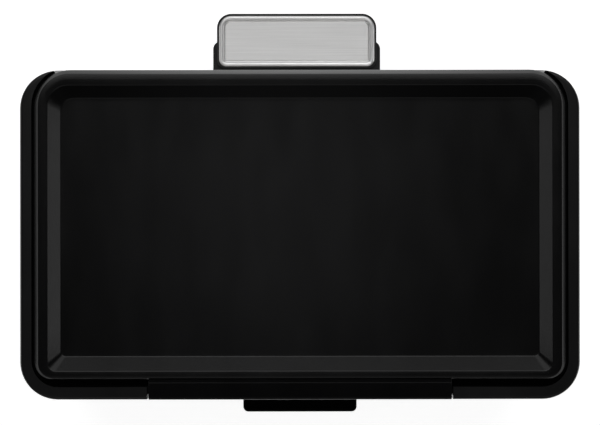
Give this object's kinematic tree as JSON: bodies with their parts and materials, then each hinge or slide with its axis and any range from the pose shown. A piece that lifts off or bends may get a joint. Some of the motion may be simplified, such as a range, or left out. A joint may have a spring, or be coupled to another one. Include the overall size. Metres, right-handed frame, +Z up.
{
  "type": "trash compactor",
  "caption": "Step-on kitchen waste compactor: rectangular steel bin with a black tray-shaped lid, front steel pedal, inner bucket and a hand press hinged under the lid.",
  "frame": {"origin": "on the floor, under the middle of the whole object's box, pedal included", "axes": "+Z up; -Y to the front, where the pedal is; +X to the right of someone facing the bin"},
  "size_m": [0.49, 0.378, 0.646],
  "materials": {
    "black_plastic": "satin moulded",
    "gloss_black": "smooth",
    "brushed_steel": "fine brushed",
    "zinc_steel": "bright zinc plated",
    "rubber": "matt",
    "grey_plastic": "satin moulded",
    "dark_grey_plastic": "satin moulded",
    "charcoal_felt": "felted"
  },
  "bodies": {
    "housing": {"steel_shell": "brushed_steel", "base_tray": "black_plastic", "rubber_feet": "rubber", "rear_spacer": "gloss_black", "spacer_screws": "zinc_steel", "top_frame": "black_plastic", "lid_bumpers": "rubber", "inner_bucket": "grey_plastic", "bag_ring": "dark_grey_plastic", "pivot_brackets": "zinc_steel", "bracket_screws": "zinc_steel", "pedal_pin": "zinc_steel", "rod_guides": "dark_grey_plastic", "damper_cylinder": "dark_grey_plastic", "damper_bracket": "dark_grey_plastic"},
    "lift_rod": {"push_rod": "zinc_steel", "rod_cap": "dark_grey_plastic", "damper_piston": "rubber"},
    "pedal": {"pedal_lever": "zinc_steel", "pedal_carrier": "black_plastic", "pedal_pad": "brushed_steel"},
    "lid": {"lid_outer": "black_plastic", "lid_liner": "dark_grey_plastic", "liner_screws": "zinc_steel", "hinge_cover": "black_plastic", "hinge_pins": "zinc_steel", "lid_seal": "rubber", "lift_crank": "dark_grey_plastic", "odour_filter": "charcoal_felt", "filter_cover": "dark_grey_plastic", "press_magnet": "zinc_steel", "press_hangers": "zinc_steel", "hanger_screws": "zinc_steel"},
    "press": {"press_plate": "grey_plastic", "press_pins": "zinc_steel", "press_grip": "dark_grey_plastic", "strike_plate": "zinc_steel"}
  },
  "joints": [
    {"name": "lid_hinge", "type": "hinge", "parent": "housing", "child": "lid", "pos_m": [0, 0.166, 0.636], "axis": [-1, 0, 0], "range_deg": [0, 80]},
    {"name": "press_hinge", "type": "hinge", "parent": "lid", "child": "press", "pos_m": [0, 0.105, 0.582], "axis": [-1, 0, 0], "range_deg": [-90, 0]},
    {"name": "pedal_pivot", "type": "hinge", "parent": "housing", "child": "pedal", "pos_m": [0, -0.007, 0.03], "axis": [1, 0, 0], "range_deg": [0, 8]},
    {"name": "rod_slide", "type": "slide", "parent": "housing", "child": "lift_rod", "axis": [0, 0, 1], "range_m": [0, 0.0212]}
  ],
  "couplings": [
    {"joint": "pedal_pivot", "follows": "lid_hinge", "ratio": 0.1},
    {"joint": "rod_slide", "follows": "lid_hinge", "m_per_rad": 0.0151}
  ]
}
